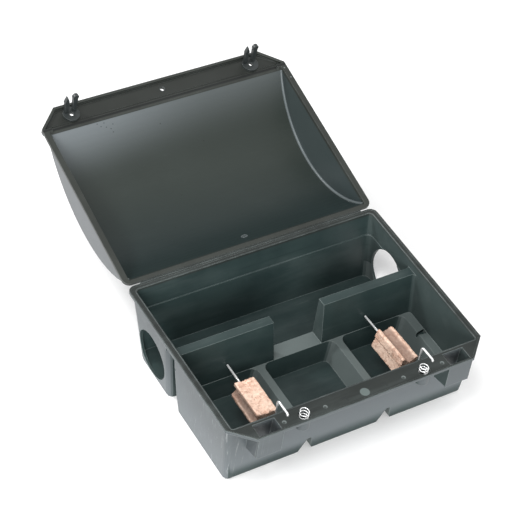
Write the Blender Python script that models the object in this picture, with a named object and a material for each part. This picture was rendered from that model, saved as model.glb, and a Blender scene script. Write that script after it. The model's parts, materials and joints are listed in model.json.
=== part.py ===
"""Rodent bait station: a moulded tray and a barrel-vaulted lid on a living hinge, shown open.

Units are metres, +Z is up, the front faces -Y. The origin is on the underside of the middle
bait pocket. The pieces are drawn about the centre of the rim rectangle, which lies behind it.
"""

import math

import bmesh
import bpy
from mathutils import Vector

MM = 0.001

# Rim of the tray: the rectangle between the hinge line and the front opening line,
# with a wide flange in front of it that has chamfered corners.
RIM_HALF = 150 * MM
RIM_REAR = 104 * MM
RIM_FRONT = -104 * MM
RIM_TOP = 80 * MM
RIM_THICK = 3 * MM
RIM_CORNER = 8 * MM
FLANGE = 22.8 * MM
CHAMFER = 23.5 * MM
FLANGE_FRONT = RIM_FRONT - FLANGE

# Tray walls. The end walls lean in towards the floor, the rear wall leans in more.
FLOOR = 2.2 * MM
SKIN = 2.3 * MM
OUTER_TOP = 148.6 * MM
END_DRAFT = 0.081
INNER_TOP = 143.1 * MM
INNER_DRAFT = 0.041
OUTER_CORNER = 6 * MM
LEDGE = 21.6 * MM
LEDGE_DROP = 4.2 * MM
STEP = 54 * MM

# Folded partition between the tunnel at the rear and the bait compartment in front.
FOLD_TOP = 70 * MM
GAP_HALF = 30.2 * MM

# Raised hollow ribs between the bait pockets: the pocket wall on their left side slopes.
RIB_OUT = 51.2 * MM
RIB_IN = 43 * MM
RIB_SLOPE = 10.2 * MM
POCKET_OUT = 131 * MM
POCKET_LEAN = 2.5 * MM

MOUTH_RADIUS = 5 * MM

# Round entries in both end walls.
ENTRY_RADIUS = 27.5 * MM
ENTRY_Y = 49.5 * MM
ENTRY_Z = 30.3 * MM

# Front flange: lock apertures, spring cups, hook holes.
LOCK_X = 110.8 * MM
LOCK_WIDTH = 24.4 * MM
LOCK_FRONT = -125.2 * MM
LOCK_REAR = -109 * MM
LOCK_PLATE_LOW = 49.5 * MM
LOCK_SIDE = 1.8 * MM
SPRING_X = 70 * MM
FLANGE_MIDDLE = -118.3 * MM
SPRING_RADIUS = 5.25 * MM
SPRING_WIRE = 0.55 * MM
SPRING_PITCH = 2.35 * MM
SPRING_TOP = RIM_TOP + 6.8 * MM
CUP_RADIUS = 7.2 * MM
CUP_BORE = 6.3 * MM
CUP_LOW = 64 * MM
HOOK_X = 85 * MM
HOOK_Y = -112.2 * MM

# Bait rods and blocks.
ROD_RADIUS = 1.2 * MM
ROD_Z = 38 * MM
ROD_TIP = -0.6 * MM
ROD_LEG = -93.5 * MM
ROD_YAW = {"left": 0.0, "right": math.radians(1.7)}
BLOCK_HALF_WIDTH = 12.25 * MM
BLOCK_HALF_HEIGHT = 10.5 * MM
BLOCK_GROOVE = 5 * MM
BLOCK_SHALLOW = 1.3 * MM
BLOCK_LENGTH = 48 * MM
BLOCK_MIDDLE = -55.5 * MM
BLOCK_ROLL = {"left": math.radians(3), "right": math.radians(-80)}

# Lid, drawn closed in the hinge's own frame and turned open about it.
HINGE_Z = 80.25 * MM
HINGE_HALF = 134 * MM
LID_OPEN = math.radians(166.5)
LID_LOW = 0.25 * MM
LID_REAR = 1.4 * MM
LID_BAND = 3.4 * MM
LID_FLANGE = 6 * MM
DOME_REAR = 5.5 * MM
DOME_FRONT = 203.5 * MM
DOME_RISE = 50 * MM
DOME_SKIN = 2.5 * MM
DOME_HALF = 143.5 * MM
DOME_LEAN = 0.08
LATCH_Y = -217.6 * MM
LATCH_HALF_SPAN = 4.6 * MM
LEG_Y = -221.5 * MM
LEG_LENGTH = 23.5 * MM
LEG_LEAN = math.radians(7)
COLLAR_RADIUS = 9.3 * MM

RIM_CENTRE_Y = 58 * MM
GAP = 0.3 * MM
PAST = 1 * MM

for stale in list(bpy.data.objects):
    bpy.data.objects.remove(stale, do_unlink=True)


def new_collection(name):
    made = bpy.data.collections.new(name)
    bpy.context.scene.collection.children.link(made)
    return made


parts = new_collection("bait_station")
cutters = new_collection("cutters")


def material(name, color, roughness, metallic=0.0):
    made = bpy.data.materials.new(name)
    made.use_nodes = True
    shader = made.node_tree.nodes["Principled BSDF"]
    shader.inputs["Base Color"].default_value = (*color, 1.0)
    shader.inputs["Roughness"].default_value = roughness
    shader.inputs["Metallic"].default_value = metallic
    return made


TRAY_PLASTIC = material("tray_plastic", (0.075, 0.088, 0.085), 0.5)
LID_PLASTIC = material("lid_plastic", (0.065, 0.078, 0.076), 0.42)
LATCH_PLASTIC = material("latch_plastic", (0.04, 0.048, 0.05), 0.45)
WAX = material("bait_wax", (0.72, 0.5, 0.38), 0.7)
STEEL = material("bright_wire", (0.75, 0.75, 0.74), 0.25, 1.0)


def link(made, finish=None):
    """Finished pieces carry a material; tools for a Boolean carry none and stay hidden."""
    for owner in made.users_collection:
        owner.objects.unlink(made)
    if finish:
        parts.objects.link(made)
        made.data.materials.clear()
        made.data.materials.append(finish)
    else:
        cutters.objects.link(made)
        made.hide_render = True
        made.display_type = "WIRE"
    return made


def shade(made, angle=math.radians(30)):
    made.data.shade_smooth()
    made.data.set_sharp_from_angle(angle=angle)
    return made


def loft(name, rings, finish=None):
    """Skin through rings of points, one ring above the other, closed at both ends."""
    mesh = bmesh.new()
    loops = [[mesh.verts.new(point) for point in ring] for ring in rings]
    for low, high in zip(loops, loops[1:]):
        for here in range(len(low)):
            after = (here + 1) % len(low)
            mesh.faces.new((low[here], low[after], high[after], high[here]))
    mesh.faces.new(reversed(loops[0]))
    mesh.faces.new(loops[-1])
    bmesh.ops.recalc_face_normals(mesh, faces=mesh.faces)
    data = bpy.data.meshes.new(name)
    mesh.to_mesh(data)
    mesh.free()
    return link(bpy.data.objects.new(name, data), finish)


def plate(name, outline, low, high, finish=None, rotation=(0, 0, 0)):
    """Flat outline with a thickness, from low to high along its own Z axis."""
    made = loft(name, [at_height(outline, low), at_height(outline, high)], finish)
    made.rotation_euler = rotation
    return made


def as_mesh(sketch, finish=None):
    """The mesh of a curve, with its caps welded on."""
    name = sketch.name
    bpy.context.view_layer.update()
    data = bpy.data.meshes.new_from_object(sketch.evaluated_get(bpy.context.evaluated_depsgraph_get()))
    welded = bmesh.new()
    welded.from_mesh(data)
    bmesh.ops.remove_doubles(welded, verts=welded.verts, dist=0.002 * MM)
    bmesh.ops.recalc_face_normals(welded, faces=welded.faces)
    welded.to_mesh(data)
    welded.free()
    made = bpy.data.objects.new(name + "_mesh", data)
    made.matrix_world = sketch.matrix_world.copy()
    bpy.data.objects.remove(sketch, do_unlink=True)
    made.name = name
    return link(made, finish)


def cylinder(name, radius, low, high, centre, axis="Z", sides=32, finish=None):
    """Round bar along X, Y or Z between two heights on that axis."""
    turn = {"X": (0, math.pi / 2, 0), "Y": (math.pi / 2, 0, 0), "Z": (0, 0, 0)}[axis]
    place = Vector(centre)
    place["XYZ".index(axis)] = (low + high) / 2
    bpy.ops.mesh.primitive_cylinder_add(
        vertices=sides, radius=radius, depth=high - low, location=place, rotation=turn
    )
    made = bpy.context.object
    made.name = name
    return link(made, finish)


def box(name, low, high, finish=None):
    bpy.ops.mesh.primitive_cube_add(size=1, location=[(a + b) / 2 for a, b in zip(low, high)])
    made = bpy.context.object
    made.name = name
    made.scale = [b - a for a, b in zip(low, high)]
    bpy.ops.object.transform_apply(location=False, rotation=False, scale=True)
    return link(made, finish)


def boolean(target, tool, operation="DIFFERENCE"):
    step = target.modifiers.new(tool.name, "BOOLEAN")
    step.operation = operation
    step.solver = "EXACT"
    step.object = tool


def arc(centre, radius_x, radius_y, start, end, steps):
    """Points on a quarter of an ellipse, angles in degrees."""
    points = []
    for count in range(steps + 1):
        angle = math.radians(start + (end - start) * count / steps)
        points.append((centre[0] + radius_x * math.cos(angle), centre[1] + radius_y * math.sin(angle)))
    return points


def rounded(x0, x1, y0, y1, front=5 * MM, rear=5 * MM, steps=4):
    """Rectangle with rounded corners, anticlockwise from the front right."""
    return (
        arc((x1 - front, y0 + front), front, front, -90, 0, steps)
        + arc((x1 - rear, y1 - rear), rear, rear, 0, 90, steps)
        + arc((x0 + rear, y1 - rear), rear, rear, 90, 180, steps)
        + arc((x0 + front, y0 + front), front, front, 180, 270, steps)
    )


def at_height(outline, z):
    return [(x, y, z) for x, y in outline]


def outer_half(z):
    return OUTER_TOP - END_DRAFT * (RIM_TOP - RIM_THICK - z)


def inner_half(z):
    return INNER_TOP - INNER_DRAFT * (RIM_TOP - z)


def rim_outline(rear, inset=0.0):
    """Rim with rounded rear corners and a chamfered flange; inset moves every side in."""
    half = RIM_HALF - inset
    front = FLANGE_FRONT + inset
    chamfer_back = RIM_FRONT + inset * 0.4
    corner = max(RIM_CORNER - inset, PAST)
    top = rear - inset
    return (
        [(-(half - CHAMFER + inset * 0.6), front), (half - CHAMFER + inset * 0.6, front), (half, chamfer_back)]
        + arc((half - corner, top - corner), corner, corner, 0, 90, 5)
        + arc((-(half - corner), top - corner), corner, corner, 90, 180, 5)
        + [(-half, chamfer_back)]
    )


def tray_shell():
    """Outer body of the tray under its rim plate."""
    low = outer_half(0)
    rings = [
        at_height(rounded(-low + 1.5 * MM, low - 1.5 * MM, -103.9 * MM, 80.5 * MM, 5 * MM, 13 * MM), 0),
        at_height(rounded(-low, low, -105.1 * MM, 82 * MM, OUTER_CORNER, 14 * MM), 2 * MM),
        at_height(
            rounded(-outer_half(STEP), outer_half(STEP), -107 * MM, 93.6 * MM, OUTER_CORNER, 14 * MM), STEP
        ),
        at_height(
            rounded(-OUTER_TOP, OUTER_TOP, -107.8 * MM, 98.9 * MM, OUTER_CORNER, 12 * MM),
            RIM_TOP - RIM_THICK + 0.5 * MM,
        ),
    ]
    return loft("base_tray", rings, TRAY_PLASTIC)


def front_cavity():
    low, high = inner_half(LEDGE), inner_half(RIM_TOP)
    return loft(
        "front_cavity",
        [
            at_height(rounded(-low, low, -103.4 * MM, -2.4 * MM, 4 * MM, 4 * MM), LEDGE),
            at_height(rounded(-high, high, -105.3 * MM, 8.6 * MM, 2.5 * MM, 4 * MM), RIM_TOP + PAST),
        ],
    )


def tunnel_cavity():
    low, middle, high = inner_half(FLOOR), inner_half(STEP), inner_half(RIM_TOP)
    return loft(
        "tunnel_cavity",
        [
            at_height(rounded(-low, low, 15 * MM, 80 * MM, 4 * MM, 9 * MM), FLOOR),
            at_height(rounded(-middle, middle, 16.2 * MM, 90.3 * MM, 3.5 * MM, 7 * MM), STEP),
            at_height(
                rounded(-middle - 0.6 * MM, middle + 0.6 * MM, 16.3 * MM, 91.1 * MM, 3.5 * MM, 7 * MM),
                STEP + 0.5 * MM,
            ),
            at_height(rounded(-high, high, 16.9 * MM, 96.6 * MM, 3 * MM, 4.5 * MM), RIM_TOP + PAST),
        ],
    )


def partition_top():
    low, high = inner_half(FOLD_TOP), inner_half(RIM_TOP)
    return loft(
        "partition_top",
        [
            at_height(rounded(-low, low, -4 * MM, 30 * MM, PAST, PAST), FOLD_TOP),
            at_height(rounded(-high, high, -4 * MM, 30 * MM, PAST, PAST), RIM_TOP + PAST),
        ],
    )


def partition_gap():
    low = GAP_HALF - 1.4 * MM
    return loft(
        "partition_gap",
        [
            at_height(rounded(-low, low, -22 * MM, 26 * MM, PAST, PAST), LEDGE),
            at_height(rounded(-GAP_HALF, GAP_HALF, -22 * MM, 26 * MM, PAST, PAST), FOLD_TOP + PAST),
        ],
    )


def pocket(name, left, right, left_lean, right_lean):
    """Sunken bait pocket; the leans are how far each side comes in at the floor."""
    return loft(
        name,
        [
            at_height(
                rounded(left + left_lean, right - right_lean, -102.4 * MM, -11 * MM, 6 * MM, 6 * MM), FLOOR
            ),
            at_height(rounded(left, right, -103.2 * MM, -2.6 * MM, 5 * MM, 8 * MM), LEDGE + 0.2 * MM),
        ],
    )


def fold_ring(z, side, front, rear, flare, inner):
    """Section of the channel under the partition, open and flared at the end wall."""
    wall = outer_half(z)
    reach = 8 * MM
    outside = wall + 6 * MM
    outline = (
        [(inner, front)]
        + arc((wall - reach, front - flare), reach, flare, 90, 0, 5)
        + [(outside, front - flare), (outside, rear + reach)]
        + arc((wall - reach, rear + reach), reach, reach, 0, -90, 5)
        + [(inner, rear)]
    )
    return [(side * x, y, z) for x, y in outline]


def fold_channel(name, side):
    return loft(
        name,
        [
            fold_ring(-PAST, side, -8.4 * MM, 12.4 * MM, 1 * MM, GAP_HALF + 1.2 * MM),
            fold_ring(LEDGE, side, -0.1 * MM, 13.2 * MM, 5 * MM, GAP_HALF + 1.6 * MM),
            fold_ring(FOLD_TOP - SKIN, side, 8.6 * MM, 14.4 * MM, 10 * MM, GAP_HALF + SKIN),
        ],
    )


def sill_channel():
    """Hollow under the sill of the gap, joining the channels on both sides."""
    reach = GAP_HALF + 4 * MM
    top = LEDGE - SKIN
    return loft(
        "sill_channel",
        [
            at_height(rounded(-reach, reach, -8.2 * MM, 12.2 * MM, PAST, PAST), -PAST - GAP),
            at_height(rounded(-reach, reach, -0.6 * MM, 12.9 * MM, PAST, PAST), top),
        ],
    )


def fold_slot(name, side):
    """Shallow run-out of the channel up to the rim, in the thick of the end wall."""
    outline = rounded(145.6 * MM, 156 * MM, -1.4 * MM, 19 * MM, PAST, 2.5 * MM)
    low, high = FOLD_TOP - 12 * MM, RIM_TOP - RIM_THICK - GAP
    return loft(name, [[(side * x, y, z) for x, y in outline] for z in (low, high)])


def rounded_mouth(corner, upper, radius, side):
    """Arc between the underside and a channel's flank; side is -1 where the lobe lies on the left."""
    corner, upper = Vector(corner), Vector(upper)
    along = Vector((side, 0))
    up = (upper - corner).normalized()
    reach = radius / math.tan(along.angle(up) / 2)
    start = corner + along * reach
    end = corner + up * reach
    centre = start + Vector((0, radius))
    first, last = (start - centre).normalized(), (end - centre).normalized()
    turns = [first] + [first.slerp(last, count / 6) for count in range(1, 6)] + [last]
    return [(centre.x + turn.x * radius, centre.y + turn.y * radius) for turn in turns]


def rib_channel(name, left_low, right_low, left_high, right_high):
    """Hollow under a rib, which runs out through the front wall as a notch with a rounded mouth."""
    high = LEDGE - SKIN
    left = rounded_mouth((left_low, 0), (left_high, high), MOUTH_RADIUS, -1)
    right = rounded_mouth((right_low, 0), (right_high, high), MOUTH_RADIUS, 1)
    outline = (
        [(left[0][0], -PAST)] + left + [(left_high, high), (right_high, high)] + right[::-1]
        + [(right[0][0], -PAST)]
    )
    return plate(name, outline, 15 * MM, 112 * MM, None, (math.pi / 2, 0, 0))


def ledge_channel(name, left_low, right_low, left_high, right_high, high=LEDGE - SKIN):
    return loft(
        name,
        [
            at_height(rounded(left_low, right_low, -98 * MM, -16 * MM, 2 * MM, 2 * MM), -PAST),
            at_height(rounded(left_high, right_high, -98 * MM, -16 * MM, 2 * MM, 2 * MM), high),
        ],
    )


def lock_housing(tray, side, name):
    """Front plate and two side walls under a lock aperture."""
    inner = LOCK_X - LOCK_WIDTH / 2
    outer = LOCK_X + LOCK_WIDTH / 2
    left, right = sorted((side * inner, side * outer))
    top = RIM_TOP - PAST
    boolean(
        tray,
        box(
            f"lock_plate_{name}",
            (left - LOCK_SIDE, FLANGE_FRONT + 0.05 * MM, LOCK_PLATE_LOW),
            (right + LOCK_SIDE, LOCK_FRONT - 0.05 * MM, top),
        ),
        "UNION",
    )
    rear = -106.5 * MM
    outline = [
        (FLANGE_FRONT + 0.1 * MM, LOCK_PLATE_LOW + 0.5 * MM),
        (rear, LOCK_PLATE_LOW - 4 * MM),
        (rear, top),
        (FLANGE_FRONT + 0.1 * MM, top),
    ]
    for edge, start in (("left", left - LOCK_SIDE + 0.05 * MM), ("right", right + 0.1 * MM)):
        cheek = plate(
            f"lock_cheek_{name}_{edge}", outline, start, start + LOCK_SIDE - 0.15 * MM, None,
            (math.pi / 2, 0, math.pi / 2),
        )
        boolean(tray, cheek, "UNION")


def ledge_step(tray):
    """A short gap across the right ledge, wider at the wall."""
    far = inner_half(LEDGE) - 0.5 * MM
    near = POCKET_OUT - 5 * MM
    outline = [(near, -34.4 * MM), (far, -37 * MM), (far, -30 * MM), (near, -32.6 * MM)]
    boolean(tray, plate("ledge_gap", outline, LEDGE - LEDGE_DROP, LEDGE + PAST))


def build_tray():
    tray = tray_shell()
    rim = plate("rim_plate", rim_outline(RIM_REAR - LID_REAR), RIM_TOP - RIM_THICK, RIM_TOP)
    boolean(tray, rim, "UNION")
    for side, name in ((-1, "left"), (1, "right")):
        lock_housing(tray, side, name)
        cup = cylinder(
            f"spring_cup_{name}", CUP_RADIUS, CUP_LOW, RIM_TOP - PAST, (side * SPRING_X, FLANGE_MIDDLE, 0)
        )
        boolean(tray, cup, "UNION")
    boolean(tray, front_cavity())
    boolean(tray, tunnel_cavity())
    boolean(tray, partition_top())
    boolean(tray, pocket("pocket_left", -POCKET_OUT, -RIB_OUT, POCKET_LEAN, RIB_SLOPE))
    boolean(tray, pocket("pocket_centre", -RIB_IN, RIB_IN, POCKET_LEAN, RIB_SLOPE))
    boolean(tray, pocket("pocket_right", RIB_OUT, POCKET_OUT, POCKET_LEAN, RIB_SLOPE))
    ledge_step(tray)
    boolean(tray, partition_gap())
    boolean(tray, sill_channel())
    for side, name in ((-1, "left"), (1, "right")):
        boolean(tray, fold_channel(f"fold_channel_{name}", side))
        boolean(tray, fold_slot(f"fold_slot_{name}", side))
        middle = side * LOCK_X
        half = LOCK_WIDTH / 2
        aperture = box(
            f"lock_aperture_{name}",
            (middle - half, LOCK_FRONT, RIM_TOP - 8 * MM),
            (middle + half, LOCK_REAR, RIM_TOP + PAST),
        )
        boolean(tray, aperture)
        bore = cylinder(
            f"spring_bore_{name}", CUP_BORE, CUP_LOW + 2 * MM, RIM_TOP + PAST, (side * SPRING_X, FLANGE_MIDDLE, 0)
        )
        boolean(tray, bore)
        hole = cylinder(
            f"hook_hole_{name}", 1.7 * MM, RIM_TOP - 6 * MM, RIM_TOP + PAST, (side * HOOK_X, HOOK_Y, 0), sides=20
        )
        boolean(tray, hole)
    slope = RIB_SLOPE + 0.3 * MM
    top_left, top_right = SKIN - 0.3 * MM, SKIN - 0.3 * MM
    for name, low, high in (("left", -RIB_OUT, -RIB_IN), ("right", RIB_IN, RIB_OUT)):
        boolean(
            tray,
            rib_channel(
                f"rib_channel_{name}",
                low - slope + SKIN,
                high + POCKET_LEAN - SKIN,
                low + top_left,
                high - top_right,
            ),
        )
    out = POCKET_OUT
    boolean(
        tray, ledge_channel("ledge_channel_left", -139.6 * MM, -out + 0.2 * MM, -140.6 * MM, -out - SKIN)
    )
    boolean(
        tray,
        ledge_channel(
            "ledge_channel_right",
            out - slope + SKIN,
            139.6 * MM,
            out - slope / 2 + SKIN,
            140.1 * MM,
            LEDGE - 2 * LEDGE_DROP - SKIN,
        ),
    )
    entries = cylinder(
        "entry_bore", ENTRY_RADIUS, -RIM_HALF - 10 * MM, RIM_HALF + 10 * MM, (0, ENTRY_Y, ENTRY_Z), "X", 48
    )
    boolean(tray, entries)
    return shade(tray)


def wire_path(corners, bends, steps=5):
    """Straight runs through the corners, each corner rounded to its bend radius."""
    points = [Vector(corners[0])]
    for before, corner, after, bend in zip(corners, corners[1:], corners[2:], bends):
        here = Vector(corner)
        back = (Vector(before) - here).normalized()
        ahead = (Vector(after) - here).normalized()
        centre = here + (back + ahead) * bend
        start = here + back * bend - centre
        side = here + ahead * bend - centre
        for count in range(steps + 1):
            angle = math.pi / 2 * count / steps
            points.append(centre + start * math.cos(angle) + side * math.sin(angle))
    points.append(Vector(corners[-1]))
    return points


def wire(name, points, radius, finish):
    curve = bpy.data.curves.new(name, "CURVE")
    curve.dimensions = "3D"
    curve.bevel_depth = radius
    curve.bevel_resolution = 2
    curve.use_fill_caps = True
    spline = curve.splines.new("POLY")
    spline.points.add(len(points) - 1)
    for place, point in zip(spline.points, points):
        place.co = (*point, 1)
    made = bpy.data.objects.new(name, curve)
    parts.objects.link(made)
    return shade(as_mesh(made, finish))


def mount_empty(name, location, rotation=(0, 0, 0)):
    """Plain axis marker that pieces are parented to."""
    made = bpy.data.objects.new(name, None)
    made.location = location
    made.rotation_euler = rotation
    parts.objects.link(made)
    return made


def build_rod(side, name, holder):
    """Bait rod: straight through the block, up the inside of the front wall, hooked in the flange."""
    over = RIM_TOP + ROD_RADIUS + GAP
    corners = [
        (0, ROD_TIP - HOOK_Y, ROD_Z),
        (0, ROD_LEG - HOOK_Y, ROD_Z),
        (0, ROD_LEG - HOOK_Y, over),
        (0, 0, over),
        (0, 0, RIM_TOP - 8 * MM),
    ]
    rod = wire(f"bait_rod_{name}", wire_path(corners, (4 * MM, 3 * MM, 2 * MM)), ROD_RADIUS, STEEL)
    rod.parent = holder
    return rod


def block_section():
    """Wax section: a deep groove in both narrow sides, a shallow one in both flat faces."""
    wide, high = BLOCK_HALF_WIDTH, BLOCK_HALF_HEIGHT
    right = [
        (wide - 1.5 * MM, -high),
        (wide, 1.5 * MM - high),
        (wide, -7.2 * MM),
        (wide - 1.2 * MM, -6 * MM),
        (wide - BLOCK_GROOVE, -1.6 * MM),
        (wide - BLOCK_GROOVE, 1.6 * MM),
        (wide - 1.2 * MM, 6 * MM),
        (wide, 7.2 * MM),
        (wide, high - 1.5 * MM),
        (wide - 1.5 * MM, high),
        (2.4 * MM, high),
        (0.8 * MM, high - BLOCK_SHALLOW),
    ]
    return right + [(-x, -y) for x, y in right]


def build_block(side, name, holder):
    block = plate(
        f"bait_block_{name}", block_section(), -BLOCK_LENGTH / 2, BLOCK_LENGTH / 2, WAX,
    )
    block.parent = holder
    block.location = (0, BLOCK_MIDDLE - HOOK_Y, ROD_Z)
    block.rotation_euler = (math.pi / 2, BLOCK_ROLL[name], 0)
    hole = cylinder(
        f"rod_hole_{name}", ROD_RADIUS + GAP, -BLOCK_LENGTH, BLOCK_LENGTH, (0, 0, 0), "Z", 16
    )
    hole.parent = block
    boolean(block, hole)
    return shade(block)


def build_spring(side, name):
    low = CUP_LOW + 2 * MM + SPRING_WIRE + GAP
    high = SPRING_TOP - SPRING_WIRE
    turns = (high - low) / SPRING_PITCH
    count = round(turns * 12)
    points = []
    for step in range(count + 1):
        share = step / count
        angle = 2 * math.pi * turns * share
        points.append(
            (
                side * SPRING_X + SPRING_RADIUS * math.cos(angle),
                FLANGE_MIDDLE + SPRING_RADIUS * math.sin(angle),
                low + (high - low) * share,
            )
        )
    return wire(f"lid_spring_{name}", points, SPRING_WIRE, STEEL)


def dome_prism(name, extra, floor_z):
    """Barrel vault between two leaning end planes; extra is the skin outside the inner face."""
    half_chord = (DOME_FRONT - DOME_REAR) / 2
    radius = (half_chord**2 + DOME_RISE**2) / (2 * DOME_RISE)
    middle = -(DOME_FRONT + DOME_REAR) / 2
    centre_z = DOME_RISE - radius
    radius += extra
    reach = math.asin(-(centre_z - max(floor_z, 0)) / radius)
    steps = 32
    section = []
    if floor_z < 0:
        section.append((middle + radius * math.cos(reach), floor_z))
    for count in range(steps + 1):
        angle = reach + (math.pi - 2 * reach) * count / steps
        section.append((middle + radius * math.cos(angle), centre_z + radius * math.sin(angle)))
    if floor_z < 0:
        section.append((middle - radius * math.cos(reach), floor_z))
    half = DOME_HALF + extra
    return loft(
        name,
        [[(side * (half - DOME_LEAN * max(z, 0)), y, z) for y, z in section] for side in (1, -1)],
    )


def lid_outline(inset, rear):
    """Lid rim in the hinge frame, where Y is 0 on the hinge."""
    return [(x, y - RIM_REAR) for x, y in rim_outline(rear, inset)]


def front_flange_outline(inset, rear_line):
    """Front part of the lid rim, between the flange's front edge and rear_line."""
    half = RIM_HALF - inset
    chamfer_back = RIM_FRONT - RIM_REAR + inset * 0.4
    front = FLANGE_FRONT - RIM_REAR + inset
    across = half - CHAMFER + inset * 0.6
    return [(-across, front), (across, front), (half, chamfer_back), (half, rear_line), (-half, rear_line),
            (-half, chamfer_back)]


def build_lid(hinge):
    lid = plate("lid", lid_outline(0.0, RIM_REAR - LID_REAR), LID_LOW, LID_BAND, LID_PLASTIC)
    lid.parent = hinge
    tools = [
        (plate("lid_flange", front_flange_outline(0.0, -203 * MM), LID_LOW + 0.3 * MM, LID_FLANGE), "UNION"),
        (dome_prism("dome_outer", DOME_SKIN, LID_LOW + 0.5 * MM), "UNION"),
        (dome_prism("dome_inner", 0.0, -PAST), "DIFFERENCE"),
        (plate("flange_recess", front_flange_outline(2.8 * MM, -206.8 * MM), -PAST, LID_BAND - 0.15 * MM), "DIFFERENCE"),
        (
            box("hook_relief", (-139 * MM, -208 * MM, -PAST), (139 * MM, -201 * MM, 2.9 * MM)),
            "DIFFERENCE",
        ),
        (cylinder("lid_hole", 2.3 * MM, -PAST, 9 * MM, (0, -218 * MM, 0), sides=20), "DIFFERENCE"),
        (cylinder("key_hole_left", 3.5 * MM, -PAST, 9 * MM, (-LOCK_X, LATCH_Y, 0), sides=20), "DIFFERENCE"),
        (cylinder("key_hole_right", 3.5 * MM, -PAST, 9 * MM, (LOCK_X, LATCH_Y, 0), sides=20), "DIFFERENCE"),
    ]
    for tool, operation in tools:
        tool.parent = hinge
        boolean(lid, tool, operation)
    return shade(lid)


def build_collar(side, name, hinge):
    """Moulded boss round a key hole on the lid's mating face."""
    collar = cylinder(
        f"latch_collar_{name}", COLLAR_RADIUS, LID_LOW + 0.3 * MM, LID_BAND - GAP, (side * LOCK_X, LATCH_Y, 0),
        finish=LATCH_PLASTIC,
    )
    collar.parent = hinge
    key = cylinder(
        f"collar_key_{name}", 2.2 * MM, -PAST, 9 * MM, (side * LOCK_X, LATCH_Y + 1 * MM, 0), sides=16
    )
    key.parent = hinge
    boolean(collar, key)
    return shade(collar)


def spike_outline():
    """Pointed snap leg with a barb on its outer side, root at the origin, tip at -Y."""
    return [
        (-1.8 * MM, 0), (1.8 * MM, 0), (1.7 * MM, -15 * MM), (1.2 * MM, -18 * MM), (-0.6 * MM, -LEG_LENGTH),
        (-2.4 * MM, -17 * MM), (-3.4 * MM, -15.6 * MM), (-3.2 * MM, -14.4 * MM), (-1.7 * MM, -13.6 * MM),
    ]


def bulb_outline():
    """Snap leg with a round head, root at the origin, tip at -Y."""
    head = 3.6 * MM
    neck = 1.9 * MM
    centre = -LEG_LENGTH + head
    reach = math.degrees(math.acos(neck / head))
    return (
        [(2 * MM, 0), (-2 * MM, 0)]
        + arc((0, centre), head, head, 180 - reach, 360 + reach, 14)
    )


def build_leg(kind, side, name, outline, offset, hinge):
    """Snap leg on its own flex axis, at the root in the collar."""
    root = mount_empty(f"flex_axis_{kind}_{name}", (side * LOCK_X + offset, LEG_Y, LID_LOW))
    root.parent = hinge
    half = 1.7 * MM
    leg = plate(
        f"latch_{kind}_{name}", outline, -half, half, LATCH_PLASTIC, (math.pi / 2 - LEG_LEAN, 0, 0)
    )
    leg.parent = root
    return shade(leg)


def build_hinge_web():
    low, high = RIM_TOP - 0.5 * MM, RIM_TOP + 0.1 * MM
    reach = LID_REAR - GAP
    return box(
        "living_hinge",
        (-HINGE_HALF, RIM_REAR - reach, low),
        (HINGE_HALF, RIM_REAR + reach - 0.1 * MM, high),
        TRAY_PLASTIC,
    )


build_tray()
build_hinge_web()
hinge_axis = mount_empty("lid_hinge_axis", (0, RIM_REAR, HINGE_Z), (-LID_OPEN, 0, 0))
build_lid(hinge_axis)
for SIDE, SIDE_NAME in ((-1, "left"), (1, "right")):
    build_collar(SIDE, SIDE_NAME, hinge_axis)
    build_leg("spike", SIDE, SIDE_NAME, spike_outline(), -LATCH_HALF_SPAN, hinge_axis)
    build_leg("bulb", SIDE, SIDE_NAME, bulb_outline(), LATCH_HALF_SPAN, hinge_axis)
    rod_holder = mount_empty(f"rod_holder_{SIDE_NAME}", (SIDE * HOOK_X, HOOK_Y, 0), (0, 0, ROD_YAW[SIDE_NAME]))
    build_rod(SIDE, SIDE_NAME, rod_holder)
    build_block(SIDE, SIDE_NAME, rod_holder)
    build_spring(SIDE, SIDE_NAME)

rim_centre = mount_empty("rim_centre", (0, RIM_CENTRE_Y, 0))
for loose in list(bpy.data.objects):
    if loose.parent is None and loose != rim_centre:
        loose.parent = rim_centre
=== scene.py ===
import json
import math

import bmesh
import bpy
from mathutils import Matrix, Vector, noise


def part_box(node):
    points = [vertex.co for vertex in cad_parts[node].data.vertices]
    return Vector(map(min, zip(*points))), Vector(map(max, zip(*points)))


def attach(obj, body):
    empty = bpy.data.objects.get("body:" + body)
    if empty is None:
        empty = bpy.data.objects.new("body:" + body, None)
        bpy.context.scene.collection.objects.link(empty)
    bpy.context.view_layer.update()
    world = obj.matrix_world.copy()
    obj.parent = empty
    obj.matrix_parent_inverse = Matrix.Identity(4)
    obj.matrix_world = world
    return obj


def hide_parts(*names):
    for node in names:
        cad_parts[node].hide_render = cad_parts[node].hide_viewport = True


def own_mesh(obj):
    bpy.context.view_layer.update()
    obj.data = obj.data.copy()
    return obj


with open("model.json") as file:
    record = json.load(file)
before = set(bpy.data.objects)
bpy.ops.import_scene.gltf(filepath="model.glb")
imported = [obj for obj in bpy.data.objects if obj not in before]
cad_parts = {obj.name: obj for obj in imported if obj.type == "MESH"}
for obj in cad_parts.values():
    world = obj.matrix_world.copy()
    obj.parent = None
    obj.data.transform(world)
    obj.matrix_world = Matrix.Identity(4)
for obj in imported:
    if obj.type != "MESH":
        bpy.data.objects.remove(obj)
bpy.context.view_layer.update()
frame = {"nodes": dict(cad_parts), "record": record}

mm = 0.001
scene = bpy.context.scene

cameraSettings = {
    "place": (-0.82096, -0.98058, 1.44959),
    "right": (0.86078, -0.49684, 0.11048),
    "down": (-0.28668, -0.65264, -0.70134),
    "lens": 127.0,
}


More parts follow.
